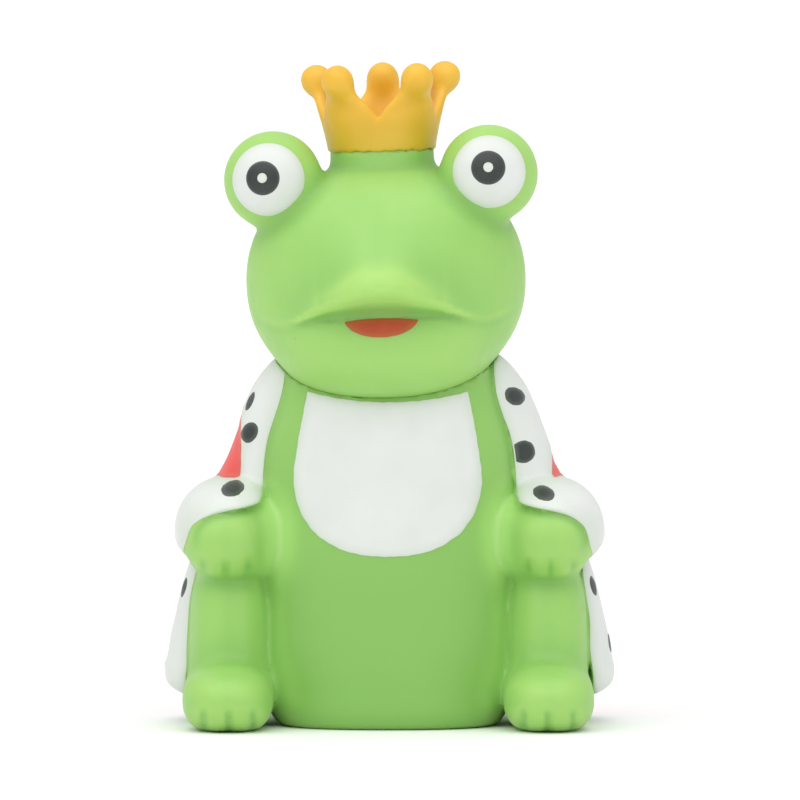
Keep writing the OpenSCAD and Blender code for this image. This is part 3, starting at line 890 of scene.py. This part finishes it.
# How much of those colours shows, and how far into a coat or up the crown two of them fade
RIDGE_HIGHLIGHT_SHARE = 0.5
GREEN_CREASE_SHADE_SHARE = 0.45
BELLY_SHADE_SHARE = 0.85
NOOK_LIGHT_SHARE = 0.75
SPECK_SHARE = 0.35
WHITE_RIM_SHARE = 0.34
COAT_RIM_SHARE = 0.45
COAT_FADE_SHARE = 0.4
YELLOW_LOW_SHARE = 0.55
YELLOW_FADE_SHARE = 0.55
YELLOW_CREASE_SHADE_SHARE = 0.6

# Grain: cycles per metre, and the depth of the bumps in metres
GLOSS_GRAIN = 420.0
GLOSS_RANGE = (0.3, 0.7)
BUMP_DETAIL = 2.0
SOFT_GRAIN = 160.0
SOFT_DEPTH = 0.0006
SAND_DEPTH = 0.00008
SPECK_GRAIN = 700.0
SPECK_DETAIL = 4.0
SPECK_RANGE = (0.74, 0.78)

# Socket numbers of a mix node for colours
MIX_FACTOR = 0
MIX_FIRST = 6
MIX_SECOND = 7
MIX_COLOUR = 2


def add(tree, kind, inputs=None, **settings):
    """A node with its settings and inputs, where an input is a value or another node's output."""
    node = tree.nodes.new(kind)
    for name, value in settings.items():
        setattr(node, name, value)
    for key, value in (inputs or {}).items():
        if isinstance(value, bpy.types.NodeSocket):
            tree.links.new(value, node.inputs[key])
        else:
            node.inputs[key].default_value = value
    return node


def grain(tree, where, scale, detail=3.0):
    """Noise from 0 to 1; scale is in cycles per metre."""
    inputs = {"Vector": where, "Scale": scale, "Detail": detail}
    return add(tree, "ShaderNodeTexNoise", inputs).outputs["Fac"]


def span(tree, value, low, high, to_low, to_high):
    """A value moved from one range to another."""
    inputs = {"Value": value, "From Min": low, "From Max": high, "To Min": to_low, "To Max": to_high}
    return add(tree, "ShaderNodeMapRange", inputs).outputs["Result"]


def mix(tree, share, a, b):
    """Two colours mixed."""
    inputs = {MIX_FACTOR: share, MIX_FIRST: a, MIX_SECOND: b}
    return add(tree, "ShaderNodeMix", inputs, data_type="RGBA").outputs[MIX_COLOUR]


def times(tree, a, b):
    """Two values multiplied."""
    return add(tree, "ShaderNodeMath", {0: a, 1: b}, operation="MULTIPLY").outputs[0]


def kept(tree, name):
    """A number kept on the mesh by note()."""
    return add(tree, "ShaderNodeAttribute", attribute_name=name).outputs["Fac"]


def tinted(tree, colour, name, share, tint):
    """A colour that turns to a tint where a kept number is high."""
    return mix(tree, times(tree, kept(tree, name), share), colour, tint)


def clouded(tree, where, shades, scale, low=0.35, high=0.65):
    """A colour that wanders between two shades; low and high are the noise levels of the plain shades."""
    return mix(tree, span(tree, grain(tree, where, scale), low, high, 0.0, 1.0), *shades)


def start(name):
    """A new material, its node tree, its shader and the place on the object."""
    material = bpy.data.materials.new(name)
    material.use_nodes = True
    tree = material.node_tree
    where = add(tree, "ShaderNodeTexCoord").outputs["Object"]
    return material, tree, tree.nodes["Principled BSDF"], where


def finish_coat(tree, shader, where, colour, rough, fine, bump):
    """Colour, uneven gloss between two roughnesses, and a fine moulded grain for a shader."""
    tree.links.new(colour, shader.inputs["Base Color"])
    gloss = span(tree, grain(tree, where, GLOSS_GRAIN), *GLOSS_RANGE, *rough)
    tree.links.new(gloss, shader.inputs["Roughness"])
    waves = grain(tree, where, SOFT_GRAIN, BUMP_DETAIL)
    soft = add(tree, "ShaderNodeBump", {"Height": waves, "Strength": bump, "Distance": SOFT_DEPTH})
    sand = grain(tree, where, fine, BUMP_DETAIL)
    inputs = {"Height": sand, "Strength": bump, "Distance": SAND_DEPTH, "Normal": soft.outputs["Normal"]}
    moulded = add(tree, "ShaderNodeBump", inputs)
    tree.links.new(moulded.outputs["Normal"], shader.inputs["Normal"])


def soften(shader, weight, radius, depth):
    """Light that passes into the vinyl and out again."""
    shader.inputs["Subsurface Weight"].default_value = weight
    shader.inputs["Subsurface Radius"].default_value = radius
    shader.inputs["Subsurface Scale"].default_value = depth


def green_vinyl():
    """Soft specked green vinyl; painted light on ridges and between limbs, painted shade in creases and the
    belly.
    """
    material, tree, shader, where = start("green_vinyl_skin")
    colour = clouded(tree, where, GREEN_SHADES, scale=55.0)
    colour = tinted(tree, colour, "ridge", RIDGE_HIGHLIGHT_SHARE, GREEN_RIDGE_HIGHLIGHT)
    colour = tinted(tree, colour, "crease", GREEN_CREASE_SHADE_SHARE, GREEN_CREASE_SHADE)
    colour = tinted(tree, colour, "belly", BELLY_SHADE_SHARE, GREEN_BELLY_SHADE)
    colour = tinted(tree, colour, "nook", NOOK_LIGHT_SHARE, GREEN_NOOK_LIGHT)
    noise = grain(tree, where, SPECK_GRAIN, SPECK_DETAIL)
    colour = mix(tree, span(tree, noise, *SPECK_RANGE, 0.0, SPECK_SHARE), colour, GREEN_SPECK)
    finish_coat(tree, shader, where, colour, rough=(0.42, 0.56), fine=2600.0, bump=0.14)
    soften(shader, weight=0.35, radius=(1.0, 1.5, 0.5), depth=0.0022)
    return material


def white_coat():
    """White paint through which the green shows a little at its rim."""
    material, tree, shader, where = start("white_coat_print")
    colour = clouded(tree, where, WHITE_SHADES, scale=90.0)
    thin = span(tree, kept(tree, "inward"), 0.0, 1.0, WHITE_RIM_SHARE, 0.0)
    colour = mix(tree, thin, colour, WHITE_RIM)
    finish_coat(tree, shader, where, colour, rough=(0.36, 0.5), fine=2400.0, bump=0.1)
    soften(shader, weight=0.2, radius=(1.0, 1.1, 0.9), depth=0.0015)
    return material


def plain_coat(name, shades, rim, rough):
    """A coat whose colour wanders between two shades and thins at its rim."""
    material, tree, shader, where = start(name)
    colour = clouded(tree, where, shades, scale=240.0)
    thin = span(tree, kept(tree, "inward"), 0.0, COAT_FADE_SHARE, COAT_RIM_SHARE, 0.0)
    colour = mix(tree, thin, colour, rim)
    finish_coat(tree, shader, where, colour, rough, fine=2400.0, bump=0.12)
    return material


def yellow_coat():
    """Yellow paint, greener low on the crown, with painted shade deeper in its creases."""
    material, tree, shader, where = start("yellow_coat_spray")
    colour = clouded(tree, where, YELLOW_SHADES, scale=200.0)
    low = span(tree, kept(tree, "height"), 0.0, YELLOW_FADE_SHARE, YELLOW_LOW_SHARE, 0.0)
    colour = mix(tree, low, colour, YELLOW_LOW)
    colour = tinted(tree, colour, "crease", YELLOW_CREASE_SHADE_SHARE, YELLOW_CREASE_SHADE)
    finish_coat(tree, shader, where, colour, rough=(0.38, 0.52), fine=2400.0, bump=0.12)
    soften(shader, weight=0.25, radius=(1.0, 0.7, 0.2), depth=0.0015)
    return material


def moulded_plastic(name, shades, rough):
    """Plain moulded plastic for the squeaker."""
    material, tree, shader, where = start(name)
    colour = clouded(tree, where, shades, scale=300.0, low=0.3, high=0.7)
    finish_coat(tree, shader, where, colour, rough, fine=3000.0, bump=0.1)
    return material


def studio_white():
    """The pale floor."""
    material, tree, shader, where = start("studio_white")
    colour = clouded(tree, where, STUDIO_SHADES, scale=2.0, low=0.3, high=0.7)
    finish_coat(tree, shader, where, colour, rough=(0.8, 0.9), fine=400.0, bump=0.02)
    return material


GREEN = green_vinyl()
WHITE = white_coat()
RED = plain_coat("red_coat_spray", RED_SHADES, RED_RIM, rough=(0.34, 0.48))
LIPS = plain_coat("mouth_coat_print", LIP_SHADES, LIP_RIM, rough=(0.36, 0.5))
BLACK = plain_coat("black_coat_print", BLACK_SHADES, BLACK_RIM, rough=(0.34, 0.46))
YELLOW = yellow_coat()
PLASTIC = moulded_plastic("squeaker_plastic_body", PLASTIC_SHADES, rough=(0.4, 0.55))
FILM = moulded_plastic("reed_film_sheet", FILM_SHADES, rough=(0.15, 0.3))


# Pieces

# The belly's painted shade of darker green: its least share, the heights where it lightens, its edge
# towards the limbs
BELLY_LEAST_SHARE = 0.25
BELLY_HIGH_SHARE = 0.5
BELLY_Z = (20.0, 50.0)
BELLY_EDGE = (-1.0, 8.0)

# How far the painted light green reaches out of the nooks between limbs, lifting their shade
NOOK_LIGHT_W = 5.5


def settle_piece(obj, material, body, slot_name, *nodes):
    """Gives a piece its material and its body, and hides the nodes that it stands for; slot_name is not
    used.
    """
    obj.data.materials.append(material)
    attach(obj, body)
    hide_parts(*nodes)
    if body == "body":
        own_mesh(obj)


def body_piece():
    """The body casting, with its points and quads for the coats."""
    points, quads = largest(*net(body_field, *BODY_BOX, BODY_STEP))
    obj = mesh_object("frog_body", points, quads, sharp=BODY_SHARP)
    note_bending(obj, body_field, points)
    torso, limbs = flesh_forms(points)
    # Painted shade on the belly: strongest low down and towards its middle
    low = 1.0 - BELLY_HIGH_SHARE * smooth_step(points[:, 2], *BELLY_Z)
    belly = low * smooth_step(limbs - torso, *BELLY_EDGE)
    note(obj, "belly", BELLY_LEAST_SHARE + (1.0 - BELLY_LEAST_SHARE) * belly)
    # Painted light in the nooks: strongest where the torso and the limbs meet
    note(obj, "nook", 1.0 - smooth_step(np.maximum(torso, limbs), 0.0, NOOK_LIGHT_W))
    settle_piece(obj, GREEN, "body", "green_vinyl", "body_casting")
    return points, quads


def head_piece():
    """The head casting, with its points and quads for the coats."""
    points, quads = net(head_field, *HEAD_BOX, HEAD_STEP)
    obj = mesh_object("frog_head", points, quads)
    note_bending(obj, head_field, points)
    note(obj, "belly", np.zeros(len(points)))
    note(obj, "nook", np.zeros(len(points)))
    settle_piece(obj, GREEN, "head", "green_vinyl", "head_casting")
    return points, quads


def crown_piece():
    """The crown."""
    points, quads = net(crown_field, *CROWN_BOX, CROWN_STEP)
    obj = mesh_object("frog_crown", points, quads)
    note_bending(obj, crown_field, points)
    note(obj, "height", (into_head(points)[:, 2] - CROWN_BASE) / CROWN_H)
    settle_piece(obj, YELLOW, "head", "yellow_coat", "crown")


# Where the coats lie: gaps at the head, ground, open edges and creases, and the red's lap under the white

HEAD_GAP = 0.3
GROUND_GAP = 0.4
EDGE_GAP = 0.25
CREASE_GAP = 0.25
SPOT_GAP = 0.2
COAT_LAP = 0.25
BIB_X = 0.3
BIB_MIDDLE_Z = 41.9
BIB_HALF_W = 15.5
BIB_DROP = 13.1
BIB_ROUND_POWER = 2.3
BIB_TOP_HALF_W = 13.2
BIB_TOP_Z = 55.7
BIB_SIDE_POWER = 1.3
BIB_OVER_SHARE = 1.3
BIB_DIP = 1.6
BIB_FRONT = 6.0
BIB_WAVE = 0.07
MOUTH_HALF_W = 6.15
MOUTH_DROP = 3.1
MOUTH_TOP = 14.0
MOUTH_ARCH = 0.45
MOUTH_FRONT = 10.0
MOUTH_WAVE = 0.03


def shown_mask(p):
    """Above zero where the head and the ground leave the body in view."""
    return np.minimum(head_field(p) - HEAD_GAP, p[:, 2] - GROUND_GAP)


def bib_mask(p):
    """Above zero on the printed bib."""
    x = np.abs(p[:, 0] - BIB_X)
    z = p[:, 2]
    low = BIB_MIDDLE_Z - z
    k = (x / BIB_HALF_W) ** BIB_ROUND_POWER + (np.maximum(low, 0.0) / BIB_DROP) ** BIB_ROUND_POWER
    round_part = (1.0 - k ** (1.0 / BIB_ROUND_POWER)) * BIB_DROP
    rise = np.clip((z - BIB_MIDDLE_Z) / (BIB_TOP_Z - BIB_MIDDLE_Z), 0.0, BIB_OVER_SHARE)
    side = BIB_HALF_W + (BIB_TOP_HALF_W - BIB_HALF_W) * rise ** BIB_SIDE_POWER - x
    top = BIB_TOP_Z - BIB_DIP * (1.0 - (x / BIB_TOP_HALF_W) ** 2) - z
    shape = np.minimum(np.where(low > 0.0, round_part, side), top)
    shape = np.minimum(shape, -BIB_FRONT - p[:, 1])
    return np.minimum(shape + BIB_WAVE * ragged(p), shown_mask(p))


def cloth_mask(p):
    """Above zero on the cape, clear of its crease with the limbs and of its open edges."""
    shifted = p - np.array((CAPE_SHIFT, 0.0, 0.0))
    crease = flesh_field(p) - cloth_field(p) - CREASE_GAP
    return np.minimum(np.minimum(crease, shown_mask(p)), -EDGE_GAP - trim_cut(shifted))


def red_mask(p):
    """Above zero on the red of the cape."""
    return np.minimum(cloth_mask(p), COAT_LAP - white_zone(p))


def fur_mask(p):
    """Above zero on the cape's white trim."""
    return np.minimum(cloth_mask(p), white_zone(p))


def mouth_mask(p):
    """Above zero on the printed half moon of the mouth."""
    q = into_head(p)
    x, z = q[:, 0], q[:, 2]
    top = MOUTH_TOP - MOUTH_ARCH * (x / MOUTH_HALF_W) ** 2
    k = np.hypot(x / MOUTH_HALF_W, (z - MOUTH_TOP) / MOUTH_DROP)
    moon = np.minimum((1.0 - k) * MOUTH_DROP, top - z)
    return np.minimum(moon, -MOUTH_FRONT - q[:, 1]) + MOUTH_WAVE * ragged(p)


# Spots as seen from the front: place across and up, half width and half height, tilt in degrees
FRONT_SPOTS = (
    (-22.5, 48.6, 1.35, 1.85, -25.0),
    (-25.3, 39.7, 1.9, 1.25, 12.0),
    (21.3, 54.6, 1.85, 1.4, -30.0),
    (22.7, 45.5, 2.0, 1.9, 0.0),
    (26.1, 39.0, 1.9, 1.15, -12.0),
)
# Spots further round: side, bearing from the back in degrees, height, half width and half height
SIDE_SPOTS = (
    (-1, 102.0, 53.6, 1.5, 1.6),
    (-1, 97.0, 32.6, 1.5, 1.7),
    (-1, 96.0, 22.6, 1.3, 1.7),
    (1, 99.0, 31.4, 1.5, 1.6),
    (1, 97.0, 22.9, 1.4, 1.7),
    (1, 92.0, 13.2, 1.5, 1.7),
    (-1, 84.0, 9.0, 1.7, 1.5),
    (-1, 48.0, 8.6, 1.8, 1.5),
    (-1, 16.0, 8.8, 1.8, 1.5),
    (1, 18.0, 8.4, 1.8, 1.5),
    (1, 54.0, 9.0, 1.8, 1.5),
)
# How far back the front spots print, and the unevenness of all the spots
SPOT_BACK_Y = 6.0
SPOT_WAVE = 0.05

# A mask value well outside any coat
NOWHERE = -9.0


def spot_mask(p):
    """Above zero on the printed ermine spots."""
    best = np.full(len(p), NOWHERE)
    front = np.where(p[:, 1] < SPOT_BACK_Y, 0.0, NOWHERE)
    for x, z, half_w, half_h, tilt in FRONT_SPOTS:
        c, s = math.cos(math.radians(tilt)), math.sin(math.radians(tilt))
        dx, dz = p[:, 0] - x, p[:, 2] - z
        k = np.hypot((dx * c + dz * s) / half_w, (dz * c - dx * s) / half_h)
        best = np.maximum(best, (1.0 - k) * min(half_w, half_h) + front)
    bearing = np.degrees(np.arctan2(p[:, 0], p[:, 1] - CAPE_AXIS_Y))
    across = np.hypot(p[:, 0], p[:, 1] - CAPE_AXIS_Y)
    for side, turn, z, half_w, half_h in SIDE_SPOTS:
        along = np.radians(bearing - side * turn) * across
        k = np.hypot(along / half_w, (p[:, 2] - z) / half_h)
        best = np.maximum(best, (1.0 - k) * min(half_w, half_h))
    return np.minimum(best + SPOT_WAVE * ragged(p), cloth_mask(p) - SPOT_GAP)


def body_coats(points, quads):
    """The bib, the red cape, its white trim and the spots on it."""
    coats = (
        ("bib_print", bib_mask, COAT_LIFT, WHITE, "white_coat", "bib"),
        ("cape_spray", red_mask, COAT_LIFT, RED, "red_coat", "cape"),
        ("trim_spray", fur_mask, COAT_LIFT, WHITE, "white_coat", "cape_trim"),
        ("spot_prints", spot_mask, SPOT_LIFT, BLACK, "black_coat", "trim_spots"),
    )
    for name, mask_at, lift, material, slot_name, node in coats:
        obj = coat(name, body_field, points, quads, mask_at, lift)
        settle_piece(obj, material, "body", slot_name, node)


# Each eye: name, side, and where its white and its pupil look, as shares of its radius across and up
EYE_SHARES = (
    ("left", 1, (0.0, 0.08), (-0.02, 0.15)),
    ("right", -1, (-0.125, 0.04), (-0.204, 0.065)),
)
WHITE_R = 6.0
WHITE_LIFT = 0.14
PUPIL_R = 2.9
PUPIL_LIFT = 0.26
GLINT_R = 0.86
GLINT_LIFT = 0.36


def gaze(across, up):
    """A look towards the viewer, turned by shares of the eye's radius."""
    return (across, -math.sqrt(1.0 - across * across - up * up), up)


def head_coats(points, quads):
    """The mouth and the eyes' printed rounds."""
    mouth = coat("mouth_print", head_field, points, quads, mouth_mask, COAT_LIFT)
    settle_piece(mouth, LIPS, "head", "mouth_coat", "mouth")
    for name, side, white_aim, pupil_aim in EYE_SHARES:
        centre = from_head((side * EYE_AT[0], EYE_AT[1], EYE_AT[2]))
        white = cap(f"eye_white_{name}_print", centre, EYE_R, gaze(*white_aim), WHITE_R, WHITE_LIFT)
        settle_piece(white, WHITE, "head", "white_coat", f"eye_white_{name}")
        pupil = cap(f"pupil_{name}_print", centre, EYE_R, gaze(*pupil_aim), PUPIL_R, PUPIL_LIFT)
        settle_piece(pupil, BLACK, "head", "black_coat", f"pupil_{name}")
        glint = cap(f"eye_glint_{name}_print", centre, EYE_R, gaze(*pupil_aim), GLINT_R, GLINT_LIFT)
        settle_piece(glint, WHITE, "head", "white_coat", f"eye_glint_{name}")


def dress_squeaker():
    """Better materials on the squeaker's own nodes."""
    for name in ("squeaker_housing", "reed_block", "reed_clamp", "reed"):
        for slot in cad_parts[name].material_slots:
            slot.material = FILM if name == "reed" else PLASTIC


# Studio: lengths in metres, angles in degrees

FLOOR_RADII = (0.5, 2.0, 6.0, 14.0)
FLOOR_AROUND = 64
KEY_ENERGY = 1.7
KEY_ANGLE = 85.0
KEY_TILT = 22.0
KEY_LEAN = -6.0
WORLD_STRENGTH = 0.72
CAMERA_AWAY = 2.0
CAMERA_HIGH = 0.142
CAMERA_FAR = 50.0
SENSOR_WIDE = 36.0
FRAME_WIDE = 0.1330
AIM_X = 0.00233
AIM_Z = 0.0538


def studio_floor():
    """A wide round pale floor."""
    verts = [(0.0, 0.0, 0.0)]
    for radius in FLOOR_RADII:
        for n in range(FLOOR_AROUND):
            turn = 2.0 * math.pi * n / FLOOR_AROUND
            verts.append((radius * math.cos(turn), radius * math.sin(turn), 0.0))
    faces = [(0, 1 + n, 1 + (n + 1) % FLOOR_AROUND) for n in range(FLOOR_AROUND)]
    for ring in range(len(FLOOR_RADII) - 1):
        first = 1 + ring * FLOOR_AROUND
        for n in range(FLOOR_AROUND):
            a, b = first + n, first + (n + 1) % FLOOR_AROUND
            faces.append((a, a + FLOOR_AROUND, b + FLOOR_AROUND, b))
    mesh = bpy.data.meshes.new("studio_floor")
    mesh.from_pydata(verts, [], faces)
    mesh.shade_smooth()
    mesh.materials.append(studio_white())
    floor = bpy.data.objects.new("studio_floor", mesh)
    bpy.context.scene.collection.objects.link(floor)


def studio_lights():
    """One very wide soft light from high in front, and an even white surround."""
    lamp = bpy.data.lights.new("key_light", "SUN")
    lamp.energy = KEY_ENERGY
    lamp.angle = math.radians(KEY_ANGLE)
    key = bpy.data.objects.new("key_light", lamp)
    key.rotation_euler = (math.radians(KEY_TILT), math.radians(KEY_LEAN), 0.0)
    bpy.context.scene.collection.objects.link(key)
    world = bpy.data.worlds.new("studio_world")
    world.use_nodes = True
    background = world.node_tree.nodes["Background"]
    background.inputs["Color"].default_value = (1.0, 1.0, 1.0, 1.0)
    background.inputs["Strength"].default_value = WORLD_STRENGTH
    scene = bpy.context.scene
    scene.world = world
    scene.view_settings.view_transform = "Standard"
    scene.view_settings.look = "None"


def camera():
    """A long lens a little above the crown, as in the photograph."""
    place = Vector((AIM_X, -CAMERA_AWAY, CAMERA_HIGH))
    aim = Vector((AIM_X, 0.0, AIM_Z))
    data = bpy.data.cameras.new("camera")
    data.sensor_width = SENSOR_WIDE
    data.lens = SENSOR_WIDE * (aim - place).length / FRAME_WIDE
    data.clip_end = CAMERA_FAR
    obj = bpy.data.objects.new("camera", data)
    obj.location = place
    obj.rotation_euler = (aim - place).to_track_quat("-Z", "Y").to_euler()
    bpy.context.scene.collection.objects.link(obj)
    bpy.context.scene.camera = obj


camera()
studio_floor()
studio_lights()
body_coats(*body_piece())
head_coats(*head_piece())
crown_piece()
dress_squeaker()
